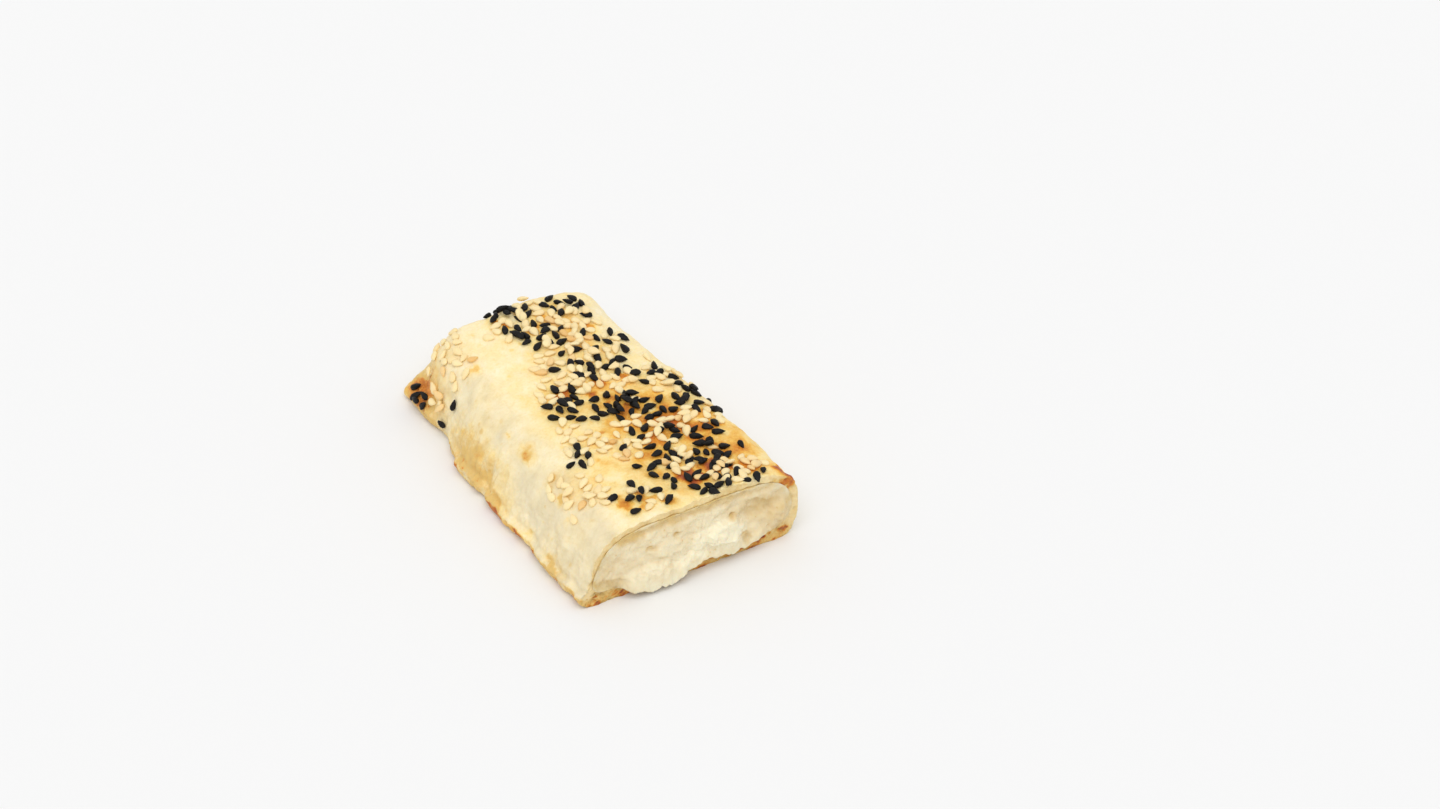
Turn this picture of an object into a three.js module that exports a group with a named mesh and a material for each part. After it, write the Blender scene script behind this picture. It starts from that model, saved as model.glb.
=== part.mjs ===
// Half of a baked cheese pastry, in millimetres, +Z up, resting on its flat underside.
// A thin sheet of dough is folded round a soft cheese filling. The fold is the rounded long side, the other
// long side and the far end are pinched shut, and the near end is cut open. Black nigella seeds and white
// sesame seeds lie on the top crust.
// +Y runs from the cut to the pinched end, +X from the pinched side to the fold. The origin is the centre of
// the underside of the whole piece's box.
import * as THREE from "three";

// ---------- driving dimensions ----------
const LENGTH = 98; // from the cut to the pinched end
const WIDTH = 62.4; // from the pinched side to the fold, at the cut
const HEIGHT = 20.8; // from the underside to the top crust

const FLOOR_CRUST = 3.6; // thickness of the dough under the filling
const TOP_CRUST = 1.4; // and over it
const SEAM_WALL = 1.6; // and at the pinched side
const FOLD_WALL = 2.6; // and at the fold
const END_WALL = 6; // from the pinched end to the back of the filling's room

const FOLD_TAPER = 6.4; // how far the fold comes in towards the pinched end
const SEAM_TAPER = 3.5; // how far the pinched side comes in
const PINCHED_SHARE = 0.13; // height of the pinched end, as a share of the full height
const END_ROUNDING = 11; // length over which the top comes down to the pinched end
const END_POWER = 2.3; // how square that shoulder is
const ROOM_ROUNDING = 8; // the same for the back of the filling's room
const ROOM_POWER = 2.2;
const EAR_DEPTH = 4.5; // how far the wall stands back from the pressed corner at the pinched side
const EAR_RUN = 9; // length of that corner
const FOLD_CORNER = 9; // radius, in plan, of the far corner at the fold
const SEAM_CORNER = 2.5; // and of the pressed one

const FIT_GAP = 0.35; // between the filling and the dough, and under each seed
const SAMPLES_PER_STEP = 2; // points between two control points of an outline
const END_STRETCH = 14; // length at the pinched end that has rings of its own
const RING_STEP = 6; // distance between two cross-sections, elsewhere

const NIGELLA = { length: 2.9, width: 1.75, height: 1.35, count: 26, sides: 6 };
const SESAME = { length: 3.05, width: 1.85, height: 0.95, count: 30, sides: 8 };
const SEED_SPACING = 3.6; // least distance between the middles of two seeds
const STEEPEST_SEED = 0.6; // seeds stay where the crust's normal rises at least this much
const MOST_TRIES = 6000; // throws for one kind of seed

// ---------- outlines of the cut face ----------
// Points run anticlockwise as seen from the cut, x from the pinched side and z from the underside. The two
// lists go round in step, so that the rim of the cut joins them point to point.
const DOUGH_OUTLINE = [
  [22, 0],
  [40, 0],
  [WIDTH - 9, 0],
  [WIDTH - 3.6, 0.2],
  [WIDTH - 1.6, 2.6],
  [WIDTH - 0.4, 5.2],
  [WIDTH, 8.6],
  [WIDTH - 1, 14.6],
  [WIDTH - 3.2, HEIGHT - 2.8],
  [WIDTH - 7, HEIGHT - 0.9],
  [WIDTH - 14, HEIGHT],
  [WIDTH / 2, HEIGHT + 0.2],
  [15, HEIGHT - 0.5],
  [10.2, HEIGHT - 2],
  [6.4, HEIGHT - 4.4],
  [3.9, 13],
  [2.3, 8.8],
  [0.9, 5.6],
  [0, 3.2],
  [0.1, 1.2],
  [2, 0.1],
  [9, 0],
];
const ROOM_OUTLINE = [
  [22, FLOOR_CRUST],
  [40, FLOOR_CRUST],
  [WIDTH - FOLD_WALL - 8, FLOOR_CRUST],
  [WIDTH - FOLD_WALL - 4, FLOOR_CRUST + 0.5],
  [WIDTH - FOLD_WALL - 1.7, FLOOR_CRUST + 2],
  [WIDTH - FOLD_WALL - 0.5, 7.7],
  [WIDTH - FOLD_WALL, 10.4],
  [WIDTH - FOLD_WALL - 0.9, 14.4],
  [WIDTH - FOLD_WALL - 2.8, HEIGHT - TOP_CRUST - 2.5],
  [WIDTH - FOLD_WALL - 5.8, HEIGHT - TOP_CRUST - 0.9],
  [WIDTH - FOLD_WALL - 12, HEIGHT - TOP_CRUST],
  [WIDTH / 2, HEIGHT - TOP_CRUST + 0.2],
  [15.4, HEIGHT - TOP_CRUST - 0.5],
  [11, HEIGHT - TOP_CRUST - 1.9],
  [6.2 + SEAM_WALL, 15.5],
  [3.9 + SEAM_WALL, 12.2],
  [2.4 + SEAM_WALL, 8.8],
  [1.9 + SEAM_WALL, 6.7],
  [2.3 + SEAM_WALL, 5.1],
  [3.6 + SEAM_WALL, FLOOR_CRUST + 0.5],
  [6.4 + SEAM_WALL, FLOOR_CRUST + 0.1],
  [13, FLOOR_CRUST],
];

/** A smooth closed loop through the outline, as [x, z] pairs with x from the pinched side. */
function smoothLoop(outline) {
  const controls = outline.map(([x, z]) => new THREE.Vector3(x, 0, z));
  const curve = new THREE.CatmullRomCurve3(controls, true, "centripetal");
  const points = curve.getPoints(outline.length * SAMPLES_PER_STEP).slice(0, -1);
  return points.map((p) => [p.x, Math.max(p.z, 0)]);
}

// ---------- the shape along the length ----------
/** 0 at the very end, 1 once `run` past it, with a rounded shoulder between. */
function shoulder(distance, run, power) {
  if (distance >= run) return 1;
  return (1 - (1 - Math.max(distance, 0) / run) ** power) ** (1 / power);
}

/** How far a corner of this radius cuts into a straight side, `back` from the end. */
const cornerCut = (back, radius) => radius * (1 - shoulder(back, radius, 2));

/** The slow unevenness of hand-rolled dough: it tapers to the pinched end, swells, and has a wavy seam. */
function relax(fromSeam, back, z) {
  const { smoothstep } = THREE.MathUtils;
  const fromCut = LENGTH - back;
  const across = THREE.MathUtils.clamp(fromSeam / WIDTH, 0, 1);
  const fold = FOLD_TAPER * smoothstep(fromCut, 15, 80) + cornerCut(back, FOLD_CORNER);
  const seam = SEAM_TAPER * smoothstep(fromCut, 58, 76) + cornerCut(back, SEAM_CORNER);
  const ear =
    EAR_DEPTH *
    Math.exp(-((back / EAR_RUN) ** 2)) *
    smoothstep(z, 2.8, 8) *
    (1 - smoothstep(fromSeam, 4, 26));
  const wave = 0.5 * Math.sin(fromCut / 3.8 + 0.6) + 0.25 * Math.sin(fromCut / 2.1 + 2.1);
  const nearSeam = Math.exp(-((fromSeam / 5) ** 2) - z / 6);
  const swell =
    0.45 * Math.sin(fromCut / 13 + fromSeam / 19) +
    0.3 * Math.sin(fromSeam / 9 - fromCut / 21 + 1.2);
  const x = fromSeam + seam * (1 - across) - fold * across + ear + wave * nearSeam;
  return new THREE.Vector3(x - WIDTH / 2, LENGTH / 2 - back, z + (swell * z) / HEIGHT);
}

/** One ring of the dough's outside, `back` from the pinched end. */
function doughRing(loop, back) {
  const open = shoulder(back, END_ROUNDING, END_POWER);
  const tall = PINCHED_SHARE + (1 - PINCHED_SHARE) * open;
  return loop.map(([x, z]) => relax(x, back, z * tall));
}

/** One ring of the filling's room, or of the filling itself when `gap` is above 0. */
function roomRing(loop, back, gap) {
  const middleX = (WIDTH - FOLD_WALL + SEAM_WALL + 1.9) / 2;
  const middleZ = (FLOOR_CRUST + HEIGHT - TOP_CRUST) / 2;
  const open = shoulder(back - END_WALL - gap, ROOM_ROUNDING, ROOM_POWER);
  const wide = open * (1 - gap / (WIDTH / 2 - FOLD_WALL));
  const tall = open * (1 - gap / (middleZ - FLOOR_CRUST));
  return loop.map(([x, z]) =>
    relax(middleX + (x - middleX) * wide, back, middleZ + (z - middleZ) * tall),
  );
}

// ---------- meshes ----------
/** A closed solid through a list of rings of equal length, capped with a fan at both ends. */
function loft(rings) {
  const around = rings[0].length;
  const points = rings.flat();
  const faces = [];
  for (let r = 0; r + 1 < rings.length; r++) {
    for (let i = 0; i < around; i++) {
      const a = r * around + i;
      const b = r * around + ((i + 1) % around);
      faces.push([a, b, b + around], [a, b + around, a + around]);
    }
  }
  for (const [first, turn] of [
    [0, true],
    [(rings.length - 1) * around, false],
  ]) {
    const hub = points.length;
    const ring = points.slice(first, first + around);
    const middle = ring.reduce((sum, p) => sum.add(p), new THREE.Vector3());
    points.push(middle.divideScalar(around));
    for (let i = 0; i < around; i++) {
      const a = first + i;
      const b = first + ((i + 1) % around);
      faces.push(turn ? [b, a, hub] : [a, b, hub]);
    }
  }
  return solidGeometry(points, faces);
}

/** A BufferGeometry whose faces point out, whichever way they were listed. */
function solidGeometry(points, faces) {
  let volume = 0;
  for (const [a, b, c] of faces) {
    volume += points[a].dot(new THREE.Vector3().crossVectors(points[b], points[c]));
  }
  const outward = volume > 0 ? faces : faces.map(([a, b, c]) => [a, c, b]);
  const geometry = new THREE.BufferGeometry().setFromPoints(points);
  geometry.setIndex(outward.flat());
  geometry.computeVertexNormals();
  return geometry;
}

function material(color, roughness) {
  return new THREE.MeshStandardMaterial({ color, roughness, metalness: 0 });
}

/** Distances from `from` to `to`, evenly spaced and at most `step` apart. */
function evenStops(from, to, step) {
  const count = Math.ceil((to - from) / step);
  return Array.from({ length: count + 1 }, (_, i) => from + (i * (to - from)) / count);
}

// Every solid has a ring at these distances from the pinched end, so that their facets run in step.
const SHARED_STOPS = evenStops(END_STRETCH, LENGTH, RING_STEP);

/** The folded sheet of dough: outside from the pinched end to the cut, then back along the filling's room. */
function makeDough() {
  const outside = smoothLoop(DOUGH_OUTLINE);
  const room = smoothLoop(ROOM_OUTLINE);
  const roomEnd = [END_WALL + 0.6, 7.6, 8.8, 10.4, 12.2];
  const rings = [
    ...[0, 0.5, 1.2, 2.1, 3.2, 4.6, 6.4, 8.6, 11, ...SHARED_STOPS].map((back) =>
      doughRing(outside, back),
    ),
    ...[...roomEnd, ...SHARED_STOPS].reverse().map((back) => roomRing(room, back, 0)),
  ];
  const mesh = new THREE.Mesh(loft(rings), material(0xe9cf9b, 0.75));
  mesh.name = "folded_dough";
  return mesh;
}

/** A soft hump of this size at x, z, by which the face of the filling stands out of the cut. */
function hump(size, atX, atZ, spreadX, spreadZ) {
  return (x, z) => size * Math.exp(-(((x - atX) / spreadX) ** 2) - ((z - atZ) / spreadZ) ** 2);
}

const FACE_HUMPS = [
  hump(2.6, 22, 4, 13, 5), // the part that ran out over the floor
  hump(2.6, 43, 6, 8, 5), // a thick fold of cheese beside it
  hump(-2.2, 48, 16, 5, 3), // a hollow under the top crust
  hump(-1.4, 6, 10, 7, 7), // where it drew back from the pinched side
  hump(-0.6, 28, 18, 24, 3), // and from the top crust
];
const DROOPS = [hump(3.1, 22, 3.6, 11, 6), hump(1.8, 42, 3.6, 7, 6)];

/** The cheese filling: it fills its room with a small gap, and bulges and sags out of the cut. */
function makeCheese() {
  const loop = smoothLoop(ROOM_OUTLINE);
  const inside = [END_WALL + 1.3, 8.2, 9.4, 10.8, 12.4, ...SHARED_STOPS];
  const front = [
    { scale: 0.99, share: 0.3, droop: 0.25 },
    { scale: 0.965, share: 0.75, droop: 0.9 },
    { scale: 0.9, share: 0.95, droop: 0.75 },
    { scale: 0.78, share: 1, droop: 0.3 },
    { scale: 0.6, share: 1, droop: 0 },
    { scale: 0.4, share: 1, droop: 0 },
    { scale: 0.2, share: 1, droop: 0 },
  ];
  const middle = (FLOOR_CRUST + HEIGHT - TOP_CRUST) / 2;
  const lip = roomRing(loop, LENGTH, FIT_GAP);
  const frontRing = ({ scale, share, droop }) =>
    lip.map((p) => {
      const x = p.x * scale;
      const z = middle + (p.z - middle) * scale;
      const sum = (humps) => humps.reduce((t, h) => t + h(x + WIDTH / 2, z), 0);
      return new THREE.Vector3(x, p.y - share * (0.6 + sum(FACE_HUMPS)), z - droop * sum(DROOPS));
    });
  const rings = [
    ...inside.map((back) => roomRing(loop, back, FIT_GAP)),
    ...front.map(frontRing),
  ];
  const mesh = new THREE.Mesh(loft(rings), material(0xf3e9c4, 0.5));
  mesh.name = "cheese_filling";
  return mesh;
}

// ---------- seeds ----------
/** Numbers from 0 to 1 that are the same on every run. */
function seededRandom(seed) {
  let state = seed;
  return () => {
    state = (state * 1664525 + 1013904223) % 4294967296;
    return state / 4294967296;
  };
}

/** A tear-shaped kernel along X, pointed at +X, flat or three-cornered by how its rim is drawn. */
function kernelGeometry({ length, width, height, sides }, cornered) {
  const stations = [
    { along: -0.42, size: 0.6 },
    { along: -0.12, size: 1 },
    { along: 0.24, size: 0.72 },
  ];
  const ring = ({ along, size }) =>
    Array.from({ length: sides }, (_, i) => {
      const turn = (i / sides) * 2 * Math.PI;
      const corner = cornered ? 1 + 0.12 * Math.cos(3 * turn) : 1;
      const y = (width / 2) * size * corner * Math.cos(turn);
      const z = (height / 2) * size * corner * Math.sin(turn);
      return new THREE.Vector3(along * length, y, z);
    });
  const rings = stations.map(ring);
  const faces = [];
  for (let r = 0; r + 1 < rings.length; r++) {
    for (let i = 0; i < sides; i++) {
      const a = r * sides + i;
      const b = r * sides + ((i + 1) % sides);
      faces.push([a, b, b + sides], [a, b + sides, a + sides]);
    }
  }
  const points = rings.flat();
  const blunt = points.push(new THREE.Vector3(-length / 2, 0, 0)) - 1;
  const tip = points.push(new THREE.Vector3(length / 2, 0, 0)) - 1;
  const last = (rings.length - 1) * sides;
  for (let i = 0; i < sides; i++) {
    const next = (i + 1) % sides;
    faces.push([next, i, blunt], [last + i, last + next, tip]);
  }
  return solidGeometry(points, faces);
}

// Where seeds fell thickest: x from the pinched side and y from the cut, with how far each drift spreads.
const NIGELLA_DRIFTS = [
  { x: 31, y: 46, spread: 7 },
  { x: 40, y: 81, spread: 9 },
  { x: 49, y: 38, spread: 8 },
  { x: 27, y: 14, spread: 6 },
  { x: 46, y: 8, spread: 6 },
  { x: 35, y: 28, spread: 7 },
  { x: 5, y: 93, spread: 4 },
];
const SESAME_DRIFTS = [
  { x: 34, y: 73, spread: 11 },
  { x: 16, y: 86, spread: 8 },
  { x: 45, y: 50, spread: 10 },
  { x: 44, y: 11, spread: 9 },
  { x: 29, y: 29, spread: 11 },
  { x: 13, y: 17, spread: 7 },
];

/** Drops seeds of one kind onto the top crust, clear of those already there, and returns their meshes. */
function scatter(kind, stem, cornered, drifts, color, dough, taken, random) {
  const down = new THREE.Vector3(0, 0, -1);
  const ray = new THREE.Raycaster();
  const shape = kernelGeometry(kind, cornered);
  const finish = material(color, 0.5);
  const seeds = [];
  for (let tries = 0; seeds.length < kind.count && tries < MOST_TRIES; tries++) {
    const drift = drifts[tries % drifts.length];
    const turn = random() * 2 * Math.PI;
    const reach = drift.spread * Math.sqrt(random());
    const x = drift.x - WIDTH / 2 + reach * Math.cos(turn);
    const y = drift.y - LENGTH / 2 + reach * Math.sin(turn);
    ray.set(new THREE.Vector3(x, y, 2 * HEIGHT), down);
    const [hit] = ray.intersectObject(dough);
    if (!hit || hit.face.normal.z < STEEPEST_SEED) continue;
    if (taken.some((p) => p.distanceTo(hit.point) < SEED_SPACING)) continue;
    taken.push(hit.point.clone());
    const seed = new THREE.Mesh(shape, finish);
    const number = String(seeds.length + 1).padStart(2, "0");
    seed.name = `${stem}_${number}`;
    const clearance = kind.height / 2 + FIT_GAP;
    seed.position.copy(hit.point).addScaledVector(hit.face.normal, clearance);
    seed.quaternion.setFromUnitVectors(new THREE.Vector3(0, 0, 1), hit.face.normal);
    seed.rotateZ(random() * 2 * Math.PI);
    seeds.push(seed);
  }
  return seeds;
}

// ---------- assembly ----------
function makePastry() {
  const dough = makeDough();
  const cheese = makeCheese();
  const random = seededRandom(20);
  const taken = [];
  const pastry = new THREE.Group();
  pastry.add(
    dough,
    cheese,
    ...scatter(NIGELLA, "nigella_seed", true, NIGELLA_DRIFTS, 0x15131a, dough, taken, random),
    ...scatter(SESAME, "sesame_seed", false, SESAME_DRIFTS, 0xf2dfae, dough, taken, random),
  );
  const box = new THREE.Box3().setFromObject(pastry, true);
  const middle = box.getCenter(new THREE.Vector3());
  pastry.position.set(-middle.x, -middle.y, -box.min.z);
  return pastry;
}

export default makePastry();
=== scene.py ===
"""Dresses half of a baked cheese pastry and sets it on a white table.

The crust, the cheese and the seeds are modelled finely over the plain solids of the frame and
take their places. Lengths are in millimetres and become metres when a mesh is made. X runs from
the pinched long side to the fold, Y from the cut to the pinched end and Z up.
"""

import logging
import math
from collections.abc import Iterable
from dataclasses import dataclass, field
from enum import Enum

import bpy
import numpy as np
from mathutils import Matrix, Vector, noise
from mathutils.bvhtree import BVHTree


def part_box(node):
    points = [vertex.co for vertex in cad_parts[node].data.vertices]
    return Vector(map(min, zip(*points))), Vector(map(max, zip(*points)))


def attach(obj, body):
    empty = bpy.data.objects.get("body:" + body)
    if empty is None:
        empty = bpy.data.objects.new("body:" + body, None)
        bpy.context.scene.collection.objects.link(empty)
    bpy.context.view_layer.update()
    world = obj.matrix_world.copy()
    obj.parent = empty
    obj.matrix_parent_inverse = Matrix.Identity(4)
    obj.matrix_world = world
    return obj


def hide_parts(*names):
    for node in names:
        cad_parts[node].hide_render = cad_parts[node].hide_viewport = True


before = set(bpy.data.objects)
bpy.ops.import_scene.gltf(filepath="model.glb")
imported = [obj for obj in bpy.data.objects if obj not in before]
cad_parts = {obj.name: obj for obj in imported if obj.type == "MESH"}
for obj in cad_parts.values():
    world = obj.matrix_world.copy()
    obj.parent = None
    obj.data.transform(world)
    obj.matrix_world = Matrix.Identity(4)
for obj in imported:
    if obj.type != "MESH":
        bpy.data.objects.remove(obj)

LOG = logging.getLogger("pastry")
MM = 0.001
CRUST_NODE = "folded_dough"
CHEESE_NODE = "cheese_filling"


# ---------- colours ----------
class Tone(Enum):
    """Colours of the pastry, as sRGB codes."""

    CREAM = "FFF1CB"
    BUTTER = "FDE096"
    OCHRE = "E0BC70"
    GOLD = "F2BB50"
    AMBER = "D98722"
    RUST = "AE5426"
    CHAR = "5E2A14"
    FLOUR = "E2D4B2"
    SHADE = "DCC999"
    CRUMB = "F2DCA8"
    PORE = "CBA659"
    CURD = "F4EBCC"
    SOFT = "E5D1A6"
    WHEY = "D8B877"
    NIGELLA = "100E0D"
    NIGELLA_RIDGE = "1D1A19"
    SESAME = "F9E4AF"
    ROASTED = "E5AE5B"
    TABLE = "EFEFEF"

    @property
    def rgba(self) -> tuple[float, float, float, float]:
        """The colour in linear light, with full alpha."""
        parts = (int(self.value[i : i + 2], 16) / 255 for i in (0, 2, 4))
        linear = (c / 12.92 if c <= 0.04045 else ((c + 0.055) / 1.055) ** 2.4 for c in parts)
        return (*linear, 1.0)


# ---------- shader maths ----------
class Sock:
    """A shader socket that can be added, multiplied and mixed like a number or a colour."""

    def __init__(self, graph: "Graph", link: bpy.types.NodeSocket) -> None:
        self.graph = graph
        self.link = link

    def _combine(self, operation: str, first: object, second: object) -> "Sock":
        """One Math, Vector Math or Mix node, by what kind of socket this is."""
        if self.link.type == "RGBA":
            settings = {"data_type": "RGBA", "blend_type": operation, "clamp_result": False}
            node = self.graph.node("ShaderNodeMix", settings, {0: 1.0, 6: first, 7: second})
            return Sock(self.graph, node.outputs[2])
        kind = "ShaderNodeVectorMath" if self.link.type == "VECTOR" else "ShaderNodeMath"
        node = self.graph.node(kind, {"operation": operation}, {0: first, 1: second})
        return Sock(self.graph, node.outputs[0])

    def __add__(self, other: object) -> "Sock":
        return self._combine("ADD", self, other)

    def __sub__(self, other: object) -> "Sock":
        return self._combine("SUBTRACT", self, other)

    def __mul__(self, other: object) -> "Sock":
        return self._combine("MULTIPLY", self, other)

    def __rsub__(self, other: object) -> "Sock":
        return self._combine("SUBTRACT", other, self)

    __radd__ = __add__
    __rmul__ = __mul__

    def rise(self, low: float, high: float) -> "Sock":
        """0 below `low`, 1 above `high` and a smooth step between."""
        return self.spread(low, high, 0.0, 1.0, "SMOOTHSTEP")

    def spread(
        self, low: float, high: float, to_low: float, to_high: float, way: str = "LINEAR"
    ) -> "Sock":
        """The value carried from one range to another.

        Args:
            low: value that becomes `to_low`.
            high: value that becomes `to_high`.
            to_low: one end of the new range.
            to_high: its other end.
            way: how the node interpolates.

        Returns:
            The new value, held inside the new range.
        """
        node = self.graph.node(
            "ShaderNodeMapRange",
            {"interpolation_type": way, "clamp": True},
            {0: self, 1: low, 2: high, 3: to_low, 4: to_high},
        )
        return Sock(self.graph, node.outputs[0])

    def mixed(self, start: object, end: object) -> "Sock":
        """A colour from `start` to `end`, where this socket is the share of `end`."""
        settings = {"data_type": "RGBA", "blend_type": "MIX", "clamp_factor": True}
        node = self.graph.node("ShaderNodeMix", settings, {0: self, 6: start, 7: end})
        return Sock(self.graph, node.outputs[2])


class Graph:
    """The node tree of one material."""

    def __init__(self, name: str) -> None:
        self.material = bpy.data.materials.new(name)
        self.material.use_nodes = True
        self.tree = self.material.node_tree
        self.tree.nodes.clear()
        self.place = Sock(self, self.node("ShaderNodeTexCoord").outputs["Object"])

    def node(
        self, kind: str, settings: dict[str, object] | None = None, sockets: dict | None = None
    ) -> bpy.types.Node:
        """Adds one node.

        Args:
            kind: the node's type.
            settings: its properties, set first.
            sockets: input name or number to a value, a Tone or a Sock.

        Returns:
            The new node.
        """
        node = self.tree.nodes.new(kind)
        for key, value in (settings or {}).items():
            setattr(node, key, value)
        for key, value in (sockets or {}).items():
            if isinstance(value, Sock):
                self.tree.links.new(value.link, node.inputs[key])
            else:
                node.inputs[key].default_value = value.rgba if isinstance(value, Tone) else value
        return node

    def painted(self, name: str) -> Sock:
        """A number painted on the mesh's points."""
        node = self.node("ShaderNodeAttribute", {"attribute_name": name})
        return Sock(self, node.outputs["Fac"])

    def grain(self, size: float, detail: float = 2.0, roughness: float = 0.5) -> Sock:
        """Cloudy noise from 0 to 1, with clouds of this size in millimetres."""
        values = {"Vector": self.place, "Scale": 1 / (size * MM), "Detail": detail}
        node = self.node("ShaderNodeTexNoise", None, {**values, "Roughness": roughness})
        return Sock(self, node.outputs["Fac"])

    def cells(self, size: float) -> Sock:
        """Distances between scattered points this far apart, in millimetres."""
        values = {"Vector": self.place, "Scale": 1 / (size * MM)}
        node = self.node("ShaderNodeTexVoronoi", {"feature": "F1"}, values)
        return Sock(self, node.outputs["Distance"])

    def ramp(self, share: Sock, stops: Iterable[tuple[float, Tone]]) -> Sock:
        """A colour band read at `share`."""
        node = self.node("ShaderNodeValToRGB", None, {"Fac": share})
        band = node.color_ramp.elements
        for number, (at, tone) in enumerate(stops):
            stop = band[number] if number < 2 else band.new(at)
            stop.position = at
            stop.color = tone.rgba
        return Sock(self, node.outputs["Color"])

    def bump(self, height: Sock, depth: float, strength: float = 1.0) -> Sock:
        """A normal from a height that runs from 0 to 1 over `depth` millimetres."""
        values = {"Height": height, "Distance": depth * MM, "Strength": strength}
        return Sock(self, self.node("ShaderNodeBump", None, values).outputs["Normal"])

    def finish(self, **values: object) -> bpy.types.Material:
        """Ends the tree in a Principled surface whose sockets take these values.

        Args:
            **values: socket name, with _ for a space, to its value or Sock.

        Returns:
            The material.
        """
        named = {key.replace("_", " "): value for key, value in values.items()}
        surface = self.node("ShaderNodeBsdfPrincipled", None, named)
        output = self.node("ShaderNodeOutputMaterial")
        self.tree.links.new(surface.outputs[0], output.inputs["Surface"])
        return self.material


# ---------- mesh making ----------
def smoothstep(value: np.ndarray | float, low: float, high: float) -> np.ndarray:
    """0 below `low`, 1 above `high` and a smooth step between."""
    t = np.clip((np.asarray(value, float) - low) / (high - low), 0, 1)
    return t * t * (3 - 2 * t)


@dataclass(frozen=True)
class Grain:
    """Smooth noise from about -1 to 1, with lumps of one size in millimetres."""

    size: float | tuple[float, float, float]
    octaves: int = 2
    offset: float = 0.0

    def at(self, points: np.ndarray) -> np.ndarray:
        """The noise at each point of an array whose last axis is x, y, z."""
        flat = points.reshape(-1, 3) / np.asarray(self.size) + self.offset
        values = [noise.fractal(p, 1.0, 2.0, self.octaves) for p in flat.tolist()]
        return np.array(values).reshape(points.shape[:-1])


@dataclass(frozen=True)
class Pores:
    """Round holes of about one size, 1 in the middle of a hole and 0 between holes."""

    size: float
    offset: float = 0.0

    def at(self, points: np.ndarray) -> np.ndarray:
        """How deep in a hole each point lies."""
        flat = points.reshape(-1, 3) / self.size + self.offset
        nearest = [noise.voronoi(p)[0][0] for p in flat.tolist()]
        return (1 - smoothstep(np.array(nearest), 0.1, 0.5)).reshape(points.shape[:-1])


@dataclass
class Draft:
    """Points in millimetres, faces and painted numbers, on the way to becoming an object."""

    points: list[np.ndarray] = field(default_factory=list)
    faces: list[list[int]] = field(default_factory=list)
    paint: dict[str, list[np.ndarray]] = field(default_factory=dict)
    count: int = 0

    def add(self, points: np.ndarray, faces: np.ndarray, **paint: np.ndarray | float) -> None:
        """Adds a patch of points, its faces and what is painted on it.

        Args:
            points: (n, 3) places.
            faces: rows of numbers into `points`.
            **paint: name to one number for each point, or one for all.
        """
        self.points.append(points)
        self.faces.extend((np.asarray(faces) + self.count).tolist())
        for name, value in paint.items():
            self.paint.setdefault(name, []).append(np.broadcast_to(value, len(points)))
        self.count += len(points)

    def make(self, name: str, material: bpy.types.Material) -> bpy.types.Object:
        """The finished object, smooth, painted and in metres.

        Args:
            name: the object's name.
            material: its one material.

        Returns:
            An object at the origin, linked to the scene.
        """
        mesh = bpy.data.meshes.new(name)
        mesh.from_pydata((np.concatenate(self.points) * MM).tolist(), [], self.faces)
        mesh.polygons.foreach_set("use_smooth", [True] * len(mesh.polygons))
        for key, values in self.paint.items():
            layer = mesh.attributes.new(key, "FLOAT", "POINT")
            layer.data.foreach_set("value", np.concatenate(values).astype(np.float32))
        mesh.materials.append(material)
        mesh.update()
        piece = bpy.data.objects.new(name, mesh)
        bpy.context.scene.collection.objects.link(piece)
        return piece


def tube_faces(rings: int, around: int) -> np.ndarray:
    """Quads between rings of equal length, each ring closed on itself."""
    ring, step = np.meshgrid(np.arange(rings - 1), np.arange(around), indexing="ij")
    here = ring * around + step
    side = ring * around + (step + 1) % around
    return np.stack([here, side, side + around, here + around], -1).reshape(-1, 4)


def cap_faces(start: int, around: int, hub: int, turned: bool) -> np.ndarray:
    """Triangles from a ring to one point."""
    step = np.arange(around)
    here, side = start + step, start + (step + 1) % around
    pair = (side, here) if turned else (here, side)
    return np.stack([*pair, np.full(around, hub)], -1)


# ---------- the pastry's form ----------
@dataclass(frozen=True)
class Outline:
    """A smooth closed loop through a few points, x from the pinched side and z from below."""

    points: tuple[tuple[float, float], ...]

    def at(self, turns: np.ndarray) -> np.ndarray:
        """The loop's x and z, where a whole number of turns is one of its points."""
        controls = np.array(self.points)
        count = len(controls)
        whole = np.floor(turns).astype(int)
        part = (turns - whole)[:, None]
        before, start, end, after = (controls[(whole + k) % count] for k in (-1, 0, 1, 2))
        gaps = [np.sqrt(np.linalg.norm(b - a, axis=1))[:, None] for a, b in (
            (before, start), (start, end), (end, after)
        )]
        leave = (start - before) / gaps[0] - (end - before) / (gaps[0] + gaps[1])
        leave = (leave + (end - start) / gaps[1]) * gaps[1]
        reach = (end - start) / gaps[1] - (after - start) / (gaps[1] + gaps[2])
        reach = (reach + (after - end) / gaps[2]) * gaps[1]
        square = 3 * (end - start) - 2 * leave - reach
        cube = leave + reach - 2 * (end - start)
        loop = start + leave * part + square * part**2 + cube * part**3
        loop[:, 1] = np.maximum(loop[:, 1], 0)
        return loop

    def even_turns(self, count: int, under_share: float) -> np.ndarray:
        """Places round the loop at even distances, sparser on the flat underside.

        Args:
            count: how many places.
            under_share: how closely they stand on the underside, against 1 elsewhere.

        Returns:
            The places, in turns.
        """
        fine = np.linspace(0, len(self.points), 60 * len(self.points) + 1)
        loop = self.at(fine)
        steps = np.linalg.norm(np.diff(loop, axis=0), axis=1)
        steps *= np.where(loop[1:, 1] < 0.05, under_share, 1.0)
        run = np.concatenate([[0], np.cumsum(steps)])
        return np.interp(np.arange(count) / count * run[-1], run, fine)


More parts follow.
